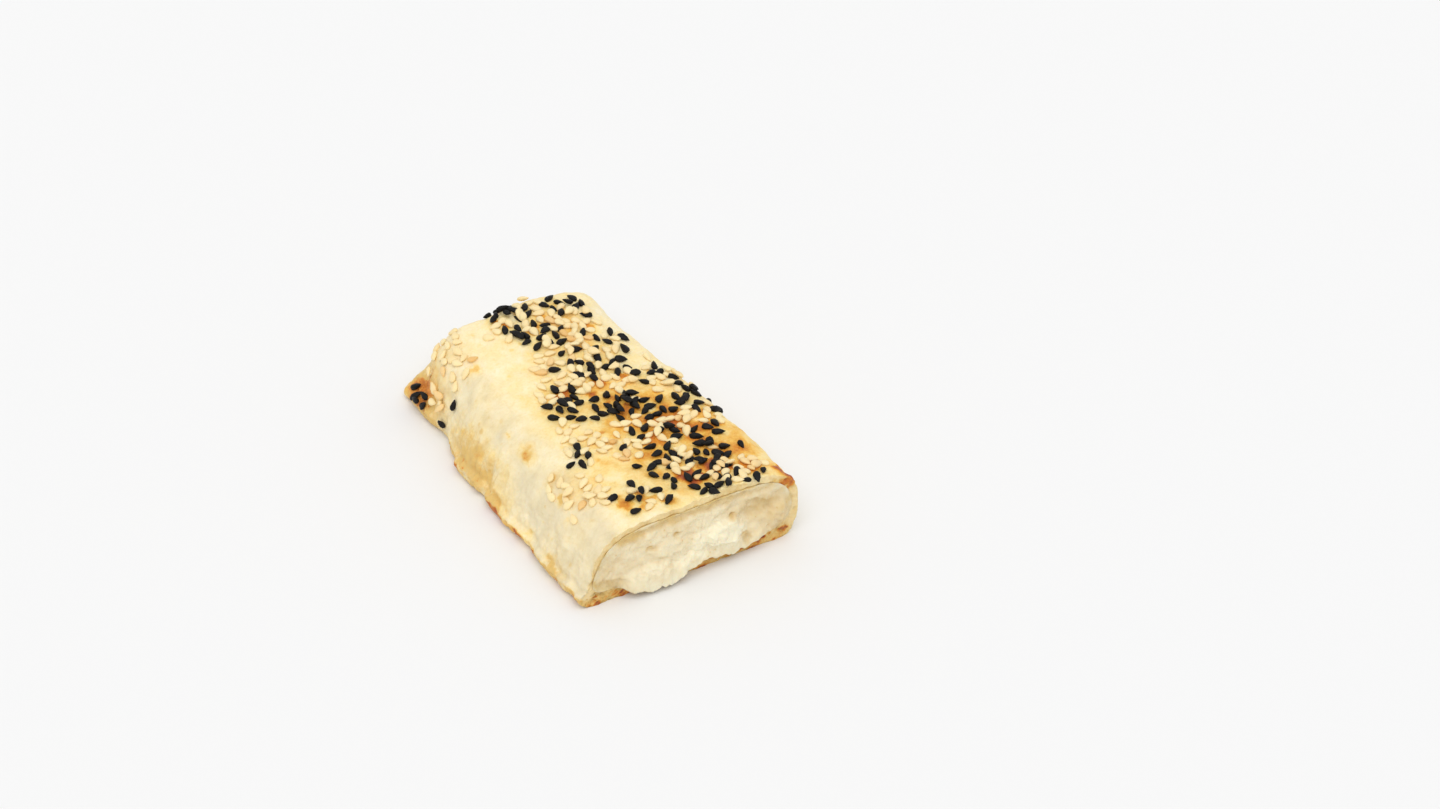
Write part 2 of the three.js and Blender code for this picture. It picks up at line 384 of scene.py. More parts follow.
@dataclass(frozen=True)
class PastryForm:
    """The size and shape that the crust, the cheese and the seeds share."""

    length: float = 98.0
    width: float = 62.4
    height: float = 20.8
    floor: float = 3.6
    top_crust: float = 1.4
    seam_wall: float = 1.6
    seam_inset: float = 1.9
    fold_wall: float = 2.6
    end_wall: float = 6.0
    fold_taper: float = 6.4
    seam_taper: float = 3.5
    pinched_share: float = 0.13
    end_rounding: float = 11.0
    end_power: float = 2.3
    room_rounding: float = 8.0
    room_power: float = 2.2
    ear_depth: float = 4.5
    ear_run: float = 9.0
    fold_corner: float = 9.0
    seam_corner: float = 2.5

    @property
    def dough_outline(self) -> Outline:
        """The outside of the crust, where it is cut."""
        w, h = self.width, self.height
        return Outline((
            (22, 0), (40, 0), (w - 9, 0), (w - 3.6, 0.2), (w - 1.6, 2.6), (w - 0.4, 5.2),
            (w, 8.6), (w - 1, 14.6), (w - 3.2, h - 2.8), (w - 7, h - 0.9), (w - 14, h),
            (w / 2, h + 0.2), (15, h - 0.5), (10.2, h - 2), (6.4, h - 4.4), (3.9, 13),
            (2.3, 8.8), (0.9, 5.6), (0, 3.2), (0.1, 1.2), (2, 0.1), (9, 0),
        ))

    @property
    def room_outline(self) -> Outline:
        """The inside of the crust, in step with the outside."""
        fold, seam = self.width - self.fold_wall, self.seam_wall
        roof, floor = self.height - self.top_crust, self.floor
        return Outline((
            (22, floor), (40, floor), (fold - 8, floor), (fold - 4, floor + 0.5),
            (fold - 1.7, floor + 2), (fold - 0.5, 7.7), (fold, 10.4), (fold - 0.9, 14.4),
            (fold - 2.8, roof - 2.5), (fold - 5.8, roof - 0.9), (fold - 12, roof),
            (self.width / 2, roof + 0.2), (15.4, roof - 0.5), (11, roof - 1.9),
            (6.2 + seam, 15.5), (3.9 + seam, 12.2), (2.4 + seam, 8.8), (self.seam_inset + seam, 6.7),
            (2.3 + seam, 5.1), (3.6 + seam, floor + 0.5), (6.4 + seam, floor + 0.1), (13, floor),
        ))

    @property
    def shift(self) -> np.ndarray:
        """From the middle of the pastry's own sizes to the frame's origin."""
        high = np.array(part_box(CRUST_NODE)[1]) / MM
        return np.array([high[0] - self.width / 2, high[1] - self.length / 2, 0.0])

    @staticmethod
    def shoulder(distance: np.ndarray | float, run: float, power: float) -> np.ndarray:
        """0 at an end, 1 once `run` past it, with a rounded shoulder between."""
        left = 1 - np.clip(np.asarray(distance, float) / run, 0, 1)
        return (1 - left**power) ** (1 / power)

    def relax(self, from_seam: np.ndarray, back: np.ndarray, z: np.ndarray) -> np.ndarray:
        """Tapers, swells and waves a place as hand-rolled dough does.

        Args:
            from_seam: distance from the pinched side.
            back: distance from the pinched end.
            z: height.

        Returns:
            Places in the frame, with x, y and z on a new last axis.
        """
        from_seam, back, z = np.broadcast_arrays(from_seam, back, z)
        from_cut = self.length - back
        across = np.clip(from_seam / self.width, 0, 1)
        fold_corner = self.fold_corner * (1 - self.shoulder(back, self.fold_corner, 2))
        seam_corner = self.seam_corner * (1 - self.shoulder(back, self.seam_corner, 2))
        fold = self.fold_taper * smoothstep(from_cut, 15, 80) + fold_corner
        seam = self.seam_taper * smoothstep(from_cut, 58, 76) + seam_corner
        ear = self.ear_depth * np.exp(-((back / self.ear_run) ** 2)) * smoothstep(z, 2.8, 8)
        ear = ear * (1 - smoothstep(from_seam, 4, 26))
        wave = 0.5 * np.sin(from_cut / 3.8 + 0.6) + 0.25 * np.sin(from_cut / 2.1 + 2.1)
        near_seam = np.exp(-((from_seam / 5) ** 2) - z / 6)
        swell = 0.45 * np.sin(from_cut / 13 + from_seam / 19)
        swell = swell + 0.3 * np.sin(from_seam / 9 - from_cut / 21 + 1.2)
        x = from_seam + seam * (1 - across) - fold * across + ear + wave * near_seam
        place = (x - self.width / 2, self.length / 2 - back, z + swell * z / self.height)
        return np.stack(place, -1) + self.shift

    def tall(self, back: np.ndarray) -> np.ndarray:
        """The crust's height at this distance from the pinched end, as a share of the full one."""
        opened = self.shoulder(back, self.end_rounding, self.end_power)
        return self.pinched_share + (1 - self.pinched_share) * opened

    def dough_rings(self, turns: np.ndarray, back: np.ndarray) -> np.ndarray:
        """Rings of the crust's outside, one for each distance from the pinched end."""
        loop = self.dough_outline.at(turns)
        heights = loop[None, :, 1] * self.tall(back)[:, None]
        return self.relax(loop[None, :, 0], back[:, None], heights)

    def room_rings(self, turns: np.ndarray, back: np.ndarray, gap: float) -> np.ndarray:
        """Rings of the crust's inside, drawn in by `gap`."""
        loop = self.room_outline.at(turns)
        middle_x = (self.width - self.fold_wall + self.seam_wall + self.seam_inset) / 2
        middle_z = (self.floor + self.height - self.top_crust) / 2
        opened = self.shoulder(back - self.end_wall - gap, self.room_rounding, self.room_power)
        wide = opened * (1 - gap / (self.width / 2 - self.fold_wall))
        tall = opened * (1 - gap / (middle_z - self.floor))
        x = middle_x + (loop[None, :, 0] - middle_x) * wide[:, None]
        z = middle_z + (loop[None, :, 1] - middle_z) * tall[:, None]
        return self.relax(x, back[:, None], z)

    def spot(self, from_seam: float, from_cut: float, z: float) -> np.ndarray:
        """The frame's place for a spot measured from the pinched side, the cut and the table."""
        corner = np.array([-self.width / 2, -self.length / 2, 0.0]) + self.shift
        return corner + np.array([from_seam, from_cut, z])


@dataclass(frozen=True)
class Belt:
    """A line on the crust, in shares of its width, length and height.

    The width counts from the pinched side, the length from the cut and the height from the table.
    """

    start: tuple[float, float, float]
    end: tuple[float, float, float]
    count: int
    breadth: float

    def places(self, form: PastryForm, rng: np.random.Generator) -> np.ndarray:
        """Scatters places along the line.

        Args:
            form: the pastry's sizes.
            rng: where the random moves come from.

        Returns:
            Places in millimetres from the pinched side, the cut and the table.
        """
        share = (np.arange(self.count) + rng.uniform(0.15, 0.85, self.count)) / self.count
        start, end = np.array(self.start), np.array(self.end)
        places = (start + (end - start) * share[:, None]) * (form.width, form.length, form.height)
        places[:, :2] += rng.normal(0, self.breadth, (self.count, 2))
        return places


# ---------- the crust ----------
@dataclass(frozen=True)
class Spot:
    """A place on the crust, measured from the pinched side, the cut and the table."""

    x: float
    y: float
    reach: float
    strength: float
    z: float
    stretch: float


@dataclass(frozen=True)
class Marks:
    """Patches, hazes or dents of much the same kind that lie along a belt."""

    belt: Belt
    reach: tuple[float, float]
    strength: tuple[float, float]
    stretch: float = 1.2

    def spots(self, form: PastryForm, rng: np.random.Generator) -> list[Spot]:
        """The single marks, each with a size and strength of its own."""
        return [
            Spot(x, y, rng.uniform(*self.reach), rng.uniform(*self.strength), z, self.stretch)
            for x, y, z in self.belt.places(form, rng)
        ]


TOASTED = (
    Marks(Belt((0.35, 0.55, 1), (0.66, 0.52, 1), 5, 2.5), (2.5, 4.5), (0.56, 0.72)),
    Marks(Belt((0.6, 0.24, 1), (0.75, 0.36, 1), 3, 2), (3.5, 6), (0.5, 0.6)),
    Marks(Belt((0.55, 0.1, 1), (0.9, 0.07, 1), 5, 2), (3, 5.5), (0.62, 0.86)),
    Marks(Belt((0.2, 0.1, 1), (0.5, 0.05, 1), 3, 2), (2, 4), (0.44, 0.52)),
    Marks(Belt((0.4, 0.9, 1), (0.75, 0.7, 1), 4, 2), (1.5, 3), (0.5, 0.62)),
    Marks(Belt((0.08, 0.05, 0.8), (0.2, 0.8, 0.9), 7, 1.5), (1.5, 3), (0.3, 0.54)),
    Marks(Belt((0, 0.1, 0.2), (0.02, 0.8, 0.2), 6, 1), (2, 4), (0.3, 0.64), 1.8),
    Marks(Belt((0.07, 0.91, 0.26), (0.09, 0.92, 0.26), 1, 0.3), (8, 9), (0.6, 0.64)),
    Marks(Belt((0.95, 0.01, 0.8), (0.95, 0.02, 0.84), 1, 0.5), (3.5, 4.5), (0.7, 0.76)),
    Marks(Belt((0.96, 0.3, 0.5), (0.93, 0.75, 0.6), 3, 1.5), (3, 4), (0.4, 0.5), 1.4),
    Marks(Belt((0.45, 0.97, 0.4), (0.75, 0.96, 0.5), 2, 1.5), (2.5, 3.5), (0.42, 0.5)),
    Marks(Belt((0.08, 0, 0.04), (0.22, 0, 0.06), 3, 0.3), (1, 1.6), (0.9, 1)),
    Marks(Belt((0.7, 0, 0.07), (0.98, 0, 0.12), 7, 0.4), (1, 1.8), (0.8, 1)),
)
WASHES = (
    Marks(Belt((0.5, 0.08, 1), (0.6, 0.92, 1), 6, 3), (8, 11), (0.12, 0.2)),
    Marks(Belt((0.8, 0.08, 1), (0.7, 0.4, 1), 3, 2), (9, 11), (0.18, 0.24)),
    Marks(Belt((0.3, 0.1, 1), (0.35, 0.65, 1), 3, 2), (7, 8), (0.1, 0.14)),
    Marks(Belt((0.01, 0.5, 0.33), (0.05, 0.72, 0.33), 2, 1), (5, 7), (0.22, 0.3), 1.5),
    Marks(Belt((0.97, 0.3, 0.6), (0.97, 0.7, 0.5), 2, 1), (7, 8), (0.12, 0.16), 1.8),
)
DENTS = (
    Marks(Belt((0.07, 0.15, 0.7), (0.12, 0.8, 0.7), 6, 1.5), (3, 4), (0.4, 0.8), 1.3),
    Marks(Belt((0.96, 0.35, 0.5), (0.96, 0.75, 0.45), 2, 1), (5, 6), (0.5, 0.55), 1.5),
)


def all_spots(marks: Iterable[Marks], form: PastryForm, seed: int) -> list[Spot]:
    """The single marks of several belts, the same on every run."""
    rng = np.random.default_rng(seed)
    return [spot for mark in marks for spot in mark.spots(form, rng)]


@dataclass(frozen=True)
class CrustFinish:
    """Baked dough: floury cream where it is pale, golden to red-brown where the oven caught it."""

    speckle: float = 0.7
    mottle: float = 4.5
    cloud: float = 15.0
    skin_depth: float = 0.32

    def material(self) -> bpy.types.Material:
        """The dough's material, which reads the toast, flour and crumb painted on the mesh."""
        graph = Graph("baked_dough")
        speckle = graph.grain(self.speckle, 4.0, 0.6)
        mottle = graph.grain(self.mottle, 5.0, 0.62)
        cloud = graph.grain(self.cloud, 2.0)
        toast = graph.painted("toast")
        uneven = (speckle - 0.5) * 0.4 * toast.spread(0.0, 0.5, 0.3, 1.0)
        pale = graph.painted("flour")
        freckles = graph.cells(5.2).spread(0.06, 0.2, 1.0, 0.0) * graph.grain(9.0).rise(0.48, 0.6)
        flecks = graph.cells(2.6).spread(0.08, 0.26, 1.0, 0.0) * graph.grain(5.0).rise(0.5, 0.6)
        heat = toast + uneven + (mottle - 0.5) * 0.34 + (cloud - 0.5) * 0.14 + freckles * 0.24
        heat = heat + flecks * pale * 0.16
        stops = (
            (0.0, Tone.CREAM),
            (0.18, Tone.BUTTER),
            (0.36, Tone.GOLD),
            (0.54, Tone.AMBER),
            (0.76, Tone.RUST),
            (1.0, Tone.CHAR),
        )
        skin = graph.ramp(heat, stops)
        flour = pale * mottle.spread(0.3, 0.7, 0.55, 1.0)
        skin = (flour * toast.spread(0.1, 0.4, 1.0, 0.0)).mixed(skin, Tone.FLOUR)
        tan = flour * heat.rise(0.08, 0.46) * heat.spread(0.44, 0.6, 1.6, 0.0)
        skin = tan.mixed(skin, Tone.OCHRE)
        # Painted shade: the greyer SHADE tone is mottled over the floury pinched side and in fine
        # specks, partly as dusty flour and partly as shade on that side.
        dust_and_shade = mottle.rise(0.42, 0.75) * flour * 0.5 + speckle.rise(0.5, 0.7) * 0.16
        dusted_and_shaded_skin = (dust_and_shade * toast.spread(0.1, 0.4, 1.0, 0.2)).mixed(skin, Tone.SHADE)
        holes = graph.cells(1.0).spread(0.12, 0.4, 1.0, 0.0) * graph.painted("open")
        inside = (
            (0.12, Tone.CRUMB),
            (0.42, Tone.OCHRE),
            (0.56, Tone.AMBER),
            (0.74, Tone.RUST),
            (1.0, Tone.CHAR),
        )
        crumb = graph.ramp(heat, inside)
        crumb = (holes * 0.75 + mottle.rise(0.4, 0.75) * 0.3).mixed(crumb, Tone.PORE)
        colour = graph.painted("crumb").mixed(dusted_and_shaded_skin, crumb)
        relief = speckle * 0.7 + graph.grain(0.28, 2.0) * 0.3 + graph.grain(2.0, 3.0) * 0.8
        return graph.finish(
            Base_Color=colour,
            Roughness=heat.spread(0.0, 0.9, 0.68, 0.46) + (speckle - 0.5) * 0.2,
            Normal=graph.bump(relief, self.skin_depth, 0.6),
            Subsurface_Weight=0.12,
            Subsurface_Radius=(1.0, 0.65, 0.35),
            Subsurface_Scale=0.0015,
            Specular_IOR_Level=0.35,
        )


@dataclass
class Crust:
    """The folded sheet of dough: skin, ragged cut edge and the near part of its inside."""

    form: PastryForm
    finish: CrustFinish = field(default_factory=CrustFinish)
    around: int = 320
    under_share: float = 0.35
    edge_rings: int = 5
    end_rings: int = 52
    long_rings: int = 200
    rim_rings: int = 9
    blister: float = 0.55
    pleats_at: float = 4.0
    ear_reach: float = 1.5
    edge_radius: float = 0.5
    stray: float = 1.9
    stray_share: float = 0.6
    wash_seed: int = 2
    patch_seed: int = 5
    dent_seed: int = 1

    def build(self) -> bpy.types.Object:
        """Models, browns and dresses the crust, and puts it in the plain solid's place."""
        turns = self.form.dough_outline.even_turns(self.around, self.under_share)
        skin = self._skin(turns)
        toast = self._browning(skin)
        normals = self._normals(skin)
        skin = skin + normals * self._relief(skin, toast)[..., None]
        skin = self._ragged(skin)
        rim, rim_toast_and_shade = self._rim(turns, skin[-1], toast[-1])
        room = self._room(turns, rim[-1])
        rows = np.concatenate([skin, rim, room])
        blank = np.zeros(rows.shape[:2])
        crumb = blank.copy()
        crumb[len(skin) :] = 1.0
        crumb[len(skin) - 1] = 0.5
        flour = blank.copy()
        flour[: len(skin)] = self._flour(skin)
        toasts = np.concatenate([toast, rim_toast_and_shade, np.full(room.shape[:2], 0.2)])
        porous = 0.15 + 0.85 * (1 - smoothstep(rows[..., 2], 2.2, 5.0))
        return self._object(rows, toast=toasts, flour=flour, crumb=crumb, open=porous)

    def _skin(self, turns: np.ndarray) -> np.ndarray:
        """Rings of the plain outside, from the pinched edge to the cut."""
        form = self.form
        angle = np.linspace(0, math.pi / 2, self.end_rings)
        near_end = form.end_rounding * (1 - np.cos(angle) ** (2 / form.end_power))
        far = np.linspace(form.end_rounding, form.length, self.long_rings + 1)[1:]
        rings = form.dough_rings(turns, np.concatenate([near_end, far]))
        fold = np.linspace(0.1, 1.0, self.edge_rings)[::-1] * math.pi / 2
        pinched = rings[0]
        middle = pinched[:, 2].max() / 2
        edge = np.repeat(pinched[None], self.edge_rings, 0)
        edge[..., 1] += self.edge_radius * np.sin(fold)[:, None]
        edge[..., 2] = middle + (pinched[None, :, 2] - middle) * np.cos(fold * 0.9)[:, None]
        return np.concatenate([edge, rings])

    @staticmethod
    def _normals(rings: np.ndarray) -> np.ndarray:
        """The outward direction at every point of a tube of rings."""
        along = np.gradient(rings, axis=0)
        across = np.roll(rings, -1, axis=1) - np.roll(rings, 1, axis=1)
        normals = np.cross(along, across)
        normals /= np.maximum(np.linalg.norm(normals, axis=-1, keepdims=True), 1e-9)
        outward = rings - rings.mean(axis=1, keepdims=True)
        return normals * np.sign((normals * outward).sum(-1).mean())

    def _heat(self, points: np.ndarray) -> np.ndarray:
        """How far the oven browned each point by its hazes and patches."""
        warp = np.stack([Grain(3.4, 3, 7.0 * k).at(points) for k in (1, 2, 3)], -1)
        places = points + self.stray * warp
        toast = 0.06 + 0.06 * Grain(16, 2, 3.0).at(points)
        patchy = 1 + 0.8 * Grain(4.4, 3, 19.0).at(points)
        for wash in all_spots(WASHES, self.form, self.wash_seed):
            toast += wash.strength * patchy * np.exp(-(self._far(places, wash) ** 2))
        for patch in all_spots(TOASTED, self.form, self.patch_seed):
            stray = min(self.stray, self.stray_share * patch.reach)
            far = self._far(points + stray * warp, patch)
            core = 1 - smoothstep(far, 0.3, 1.05)
            halo = 0.42 * (1 - smoothstep(far, 0.5, 2.1))
            toast = np.maximum(toast, patch.strength * np.maximum(core, halo))
        return toast

    def _browning(self, skin: np.ndarray) -> np.ndarray:
        """How far each point of the outside has browned, from 0 to 1."""
        x, y, height = skin[..., 0], skin[..., 1], skin[..., 2]
        spots = Grain(5, 3, 11.0).at(skin)
        baked = 0.34 + 0.26 * spots + 0.5 * Pores(6, 5.0).at(skin)
        under = 1 - smoothstep(height, 0.1, 1.1)
        seam, end, _ = self.form.spot(0, self.form.length, 0)
        lip = (1 - smoothstep(end - y, 0.3, 2.4)) * (1 - smoothstep(height, 1.5, 4.0))
        pressed = (1 - smoothstep(x - seam, 2.0, 6.0)) * (1 - smoothstep(height, 2.7, 4.0))
        edges = (lip + pressed) * (0.4 + 0.4 * spots)
        return np.clip(np.maximum.reduce([self._heat(skin), edges, under * baked]), 0, 1)

    def _far(self, places: np.ndarray, patch: Spot) -> np.ndarray:
        """How far each place lies from a patch's middle, where 1 is its reach."""
        middle = self.form.spot(patch.x, patch.y, patch.z)
        gap = (places - middle) / np.array([1.0, patch.stretch, 1.0])
        return np.linalg.norm(gap, axis=-1) / patch.reach

    def _flour(self, skin: np.ndarray) -> np.ndarray:
        """Where the skin stayed pale and floury: low on the pinched side, and in clouds."""
        seam = self.form.spot(0, 0, 0)[0]
        side = 1 - smoothstep(skin[..., 0] - seam, 6, 17)
        clouds = 0.5 + 0.9 * Grain(9, 3, 21.0).at(skin)
        return np.clip(side * (0.45 + 0.65 * clouds) + 0.12 * clouds, 0, 1)

    def _relief(self, skin: np.ndarray, toast: np.ndarray) -> np.ndarray:
        """How far the skin stands out: curds beneath, blisters, puckers and a fine grain."""
        from_seam = skin[..., 0] - self.form.spot(0, 0, 0)[0]
        height = skin[..., 2]
        free = smoothstep(height, 0.3, 2.5)
        curds = 0.5 * Grain(8, 2, 2.0).at(skin) + 0.24 * Grain(3, 2, 9.0).at(skin)
        grain = 0.06 * Grain(1.1, 2, 4.0).at(skin)
        side = (1 - smoothstep(from_seam, 6, 13)) * (1 - smoothstep(height, 10, 16))
        pleated = 0.3 + 0.45 * np.exp(-(((skin[..., 1] - self.pleats_at) / 14) ** 2))
        puckers = pleated * side * Grain((4.0, 1.7, 7.0), 2, 6.0).at(skin)
        puckers -= 0.5 * side * np.abs(Grain((1.7, 2.0, 3.0), 3, 36.0).at(skin))
        walls = (1 - side) * (1 - smoothstep(height, 8, 17))
        puckers += 0.3 * walls * Grain((2.6, 2.6, 9.0), 2, 26.0).at(skin)
        raised = self.blister * smoothstep(toast, 0.3, 0.9) * (0.7 + Grain(1.6, 2, 8.0).at(skin))
        dips = -0.25 * Pores(7, 1.0).at(skin) * smoothstep(Grain(11, 1, 5.0).at(skin), 0.0, 0.4)
        for dent in all_spots(DENTS, self.form, self.dent_seed):
            dips -= dent.strength * np.exp(-(self._far(skin, dent) ** 2))
        under = -0.12 * np.abs(Grain(4, 2, 13.0).at(skin)) * (1 - free)
        near_seam = 1 - smoothstep(from_seam, 1.0, 4.5)
        crimp = 0.5 * near_seam * Grain((9, 2.7, 9), 2, 33.0).at(skin)
        crest = 0.55 * np.exp(-(((height - 3.3) / 0.8) ** 2))
        crest = near_seam * (crest - 0.4 * np.exp(-(((height - 5.0) / 0.8) ** 2)))
        far_end = self.form.spot(0, self.form.length, 0)[1] - skin[..., 1]
        tongue = self.ear_reach * np.exp(-(((far_end - 5) / 4.5) ** 2)) * near_seam
        tongue *= 1 - smoothstep(height, 4.0, 7.5)
        return free * (curds + grain + puckers + raised + dips) + crimp + crest + tongue + under

    def _ragged(self, skin: np.ndarray) -> np.ndarray:
        """The skin with an uneven edge where the knife went through."""
        cut = self.form.spot(0, 0, 0)[1]
        near = 1 - smoothstep(skin[..., 1] - cut, 0.0, 2.2)
        edge = 0.42 * Grain((2.6, 40, 2.6), 3, 3.0).at(skin) + 0.28 * Grain(0.9, 1, 5.0).at(skin)
        skin = skin.copy()
        lift = 0.7 * np.maximum(Grain((3.4, 30, 3.4), 3, 29.0).at(skin), 0)
        lift *= smoothstep(skin[..., 2], 8, 15)
        skin[..., 1] += near * edge
        skin[..., 2] += near * lift
        skin[..., 2] = np.maximum(skin[..., 2], 0.0)
        return skin

    def _rim(
        self, turns: np.ndarray, outer: np.ndarray, toast: np.ndarray
    ) -> tuple[np.ndarray, np.ndarray]:
        """Rings across the thickness of the cut dough, with its pores.

        Args:
            turns: places round the outline.
            outer: the skin's last ring.
            toast: how far that ring has browned.

        Returns:
            The rings, and how far each of their points has browned, with a painted shadow line along
            the inner edge.
        """
        inner = self.form.room_rings(turns, np.array([self.form.length]), 0.0)[0]
        inner[:, 1] += 0.35 * Grain(2.2, 2, 17.0).at(inner)
        share = np.linspace(0, 1, self.rim_rings + 2)[1:, None, None]
        rings = outer[None] * (1 - share) + inner[None] * share
        middle = np.sin(share[..., 0] * math.pi)
        thick = np.linalg.norm(outer - inner, axis=-1)
        depth = 0.3 * np.maximum(thick - 1.2, 0) * middle * (0.25 + Pores(1.5, 2.0).at(rings))
        rings[..., 1] += depth + 0.1 * middle * Grain(0.8, 2, 6.0).at(rings)
        spots = Pores(2.2, 8.0).at(rings) * (1 - smoothstep(rings[..., 2], 1.6, 4.0))
        fade = toast[None] * (1 - smoothstep(share[..., 0], 0.0, 0.4))
        golden = np.clip(0.45 + 1.7 * Grain(3, 3, 23.0).at(rings), 0, 1.3)
        # Painted shadow: a brown line along the rim's inner edge, partly real browning and partly
        # the shadow line between crust and cheese.
        seared_and_shade_line = 0.28 * smoothstep(share[..., 0], 0.3, 0.9) * golden
        # The browning below also carries that painted shadow line.
        browned = np.maximum.reduce([fade, seared_and_shade_line, 0.95 * spots, 0.95 * self._heat(rings)])
        low = 1 - smoothstep(rings[..., 2], 1.0, 3.5)
        return rings, np.clip(browned, 0.2 + 0.24 * low, 1)

    def _room(self, turns: np.ndarray, start: np.ndarray) -> np.ndarray:
        """Rings of the inside, from the rim to the back of the filling's room."""
        form = self.form
        depths = np.array([0.4, 0.9, 1.6, 2.6, 4, 6, 9, 14, 30, 50, 70, 80, 86, 90.6])
        rings = form.room_rings(turns, form.length - depths, 0.0)
        near = np.exp(-depths / 1.5)[:, None]
        shift = start - form.room_rings(turns, np.array([form.length]), 0.0)[0]
        return rings + shift[None] * near[..., None]

    def _object(self, rows: np.ndarray, **paint: np.ndarray) -> bpy.types.Object:
        """Closes the rings at both ends, and makes the object.

        Args:
            rows: rings of points, from the pinched end round the cut to the back of the room.
            **paint: name to a number for each of those points.

        Returns:
            The crust, in the place of the frame's plain one.
        """
        draft = Draft()
        ends = np.stack([rows[0].mean(0), rows[-1].mean(0)])
        total = rows.shape[0] * self.around
        closed = {k: np.append(v.ravel(), [v[0].mean(), v[-1].mean()]) for k, v in paint.items()}
        points = np.concatenate([rows.reshape(-1, 3), ends])
        draft.add(points, tube_faces(len(rows), self.around), **closed)
        first = cap_faces(0, self.around, total, True)
        last = cap_faces(total - self.around, self.around, total + 1, False)
        draft.faces.extend(first.tolist() + last.tolist())
        piece = draft.make("baked_dough", self.finish.material())
        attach(piece, "root")
        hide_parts(CRUST_NODE)
        return piece


# ---------- the cheese ----------
@dataclass(frozen=True)
class Hump:
    """A swelling or hollow in the cheese's face, measured from the pinched side and the table."""

    x: float
    z: float
    wide: float
    tall: float
    size: float
    crisp: float = 2.0

    def at(self, x: np.ndarray, z: np.ndarray) -> np.ndarray:
        """How far the face stands out here because of it."""
        far = np.hypot((x - self.x) / self.wide, (z - self.z) / self.tall)
        return self.size * np.exp(-(far**self.crisp))


FACE = (
    Hump(24, 7, 16, 8, 1.3),
    Hump(20.5, 3.6, 8.5, 4.2, 2.3, 5),
    Hump(31, 4.6, 5.0, 3.0, 1.2, 4),
    Hump(43, 5.0, 7.5, 3.8, 1.4, 5),
    Hump(40.5, 10.4, 5.6, 2.9, 1.9, 8),
    Hump(33.5, 10.0, 4.0, 2.4, 0.8, 5),
    Hump(25, 11.0, 5, 2.4, 0.5, 4),
    Hump(55, 8.5, 3.5, 3, 1.0, 3),
    Hump(51, 5.2, 2.6, 1.8, 1.0, 4),
    Hump(57, 11.5, 2.2, 1.5, 0.7, 3),
    Hump(53, 11, 1.7, 1.2, -0.7, 3),
    Hump(57.5, 7.5, 1.5, 1.2, 0.6, 3),
    Hump(49.5, 13.2, 4.5, 2.4, -1.4, 4),
    Hump(56.5, 14.5, 2.4, 2.0, -0.7, 3),
    Hump(42.5, 13.6, 1.0, 0.6, -0.8, 3),
    Hump(26.5, 14.6, 0.9, 0.6, -0.6, 3),
    Hump(20, 12.6, 1.2, 0.6, -0.5, 3),
    Hump(23.5, 3.9, 3.0, 0.5, -1.0, 3),
    Hump(46, 6.4, 1.8, 1.4, -1.3, 4),
    Hump(6, 11, 7, 6, -0.9),
    Hump(7, 5, 5.5, 1.7, -0.9, 4),
    Hump(28, 18.6, 24, 1.5, -0.8, 3),
)
# Colour patches on the cheese face. Those on the hollows, under the lobes and along the top under
# the crust are painted shade, shown as darker yellow; the rest are yellower moist cheese, and the
# negative ones whiter cheese.
DAMP_AND_SHADE = (
    Hump(42.5, 13.6, 1.2, 0.7, 0.7, 3),
    Hump(26.5, 14.6, 1.1, 0.7, 0.6, 3),
    Hump(20, 12.6, 1.4, 0.7, 0.6, 3),
    Hump(23.5, 3.9, 3.2, 0.6, 0.7, 3),
    Hump(46, 6.2, 1.8, 1.6, 0.6, 3),
    Hump(48, 13.5, 6.5, 3, 0.35, 4),
    Hump(40, 8.5, 15, 5, -0.22, 4),
    Hump(30, 18.6, 25, 1.3, 0.5, 4),
    Hump(14, 17.2, 3.6, 1.2, 0.7, 3),
    Hump(7, 5, 5.5, 2, 0.35, 4),
    Hump(4, 9, 7, 9, 0.15, 3),
    Hump(41, 10.4, 6.0, 3.2, -0.26, 6),
    Hump(22, 4.5, 9, 3.5, -0.16, 4),
    Hump(55, 10, 6.5, 7, 0.38, 4),
)
DROOPS = (Hump(20.5, 3.6, 9.5, 6, 3.0, 3), Hump(43, 3.6, 6.5, 6, 1.7, 3))


@dataclass(frozen=True)
class CheeseFinish:
    """Soft fresh cheese: white curds, yellower where it is moist or thin, and darker yellow in its
    hollows as painted shade.
    """

    curd: float = 2.6
    blotch: float = 7.0
    depth: float = 0.3

    def material(self) -> bpy.types.Material:
        """The cheese's material, which reads the moisture and shade painted on the mesh."""
        graph = Graph("soft_cheese")
        fine = graph.grain(0.6, 4.0, 0.6)
        curds = graph.grain(self.curd, 4.0, 0.6)
        blotch = graph.grain(self.blotch, 2.0)
        # Painted shade: the painted value is high in the face's hollows and under the crust, which
        # turns them darker yellow, along with the cheese's own moist yellowing.
        wet_and_shade = graph.painted("damp") + (curds - 0.5) * 0.7 + (blotch - 0.5) * 0.5 + 0.3
        holes = graph.cells(1.7).spread(0.08, 0.2, 1.0, 0.0) * curds.rise(0.5, 0.6)
        stops = ((0.0, Tone.CURD), (0.45, Tone.SOFT), (1.0, Tone.WHEY))
        return graph.finish(
            Base_Color=graph.ramp(wet_and_shade + holes * 0.4, stops),
            Roughness=fine.spread(0.3, 0.7, 0.28, 0.52),
            Normal=graph.bump(fine * 0.5 + curds, self.depth, 0.7),
            Subsurface_Weight=0.3,
            Subsurface_Radius=(1.0, 0.75, 0.5),
            Subsurface_Scale=0.003,
            Specular_IOR_Level=0.45,
        )


